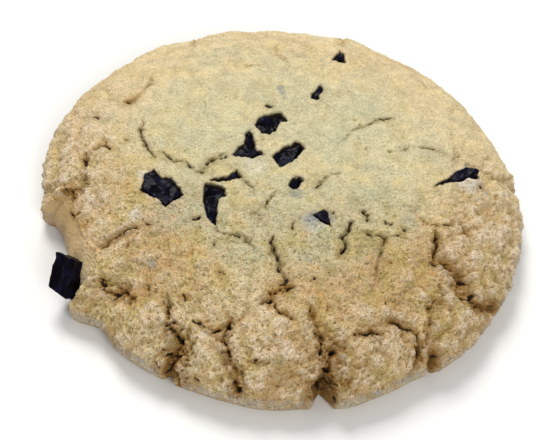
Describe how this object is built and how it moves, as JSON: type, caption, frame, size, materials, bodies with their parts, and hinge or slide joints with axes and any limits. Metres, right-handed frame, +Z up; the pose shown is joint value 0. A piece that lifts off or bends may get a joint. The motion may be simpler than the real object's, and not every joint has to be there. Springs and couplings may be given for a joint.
{
  "type": "chocolate chunk cookie",
  "caption": "Round soft-baked cookie with a crackled crust, a smooth scoop in its left side and dark chocolate chunks set into the top and edge",
  "frame": {"origin": "centre of the bounding box's bottom, on the table under the middle of the cookie", "axes": "+Z up through the thickness, the shortest extent; +X to the right and +Y to the back as the picture shows the cookie, so that the scoop with the chocolate block is at the left and front"},
  "size_m": [0.0902, 0.0901, 0.0157],
  "materials": {
    "baked_dough": null,
    "dark_chocolate": null
  },
  "bodies": {
    "root": {"dough": "baked_dough", "chunk_left_top": "dark_chocolate", "chunk_tall": "dark_chocolate", "chunk_sliver": "dark_chocolate", "chunk_twin": "dark_chocolate", "chunk_back": "dark_chocolate", "chunk_middle": "dark_chocolate", "chunk_in_hole": "dark_chocolate", "chunk_front": "dark_chocolate", "chunk_right": "dark_chocolate", "chunk_small_back": "dark_chocolate", "chunk_far_back": "dark_chocolate", "block_edge": "dark_chocolate"}
  },
  "joints": []
}
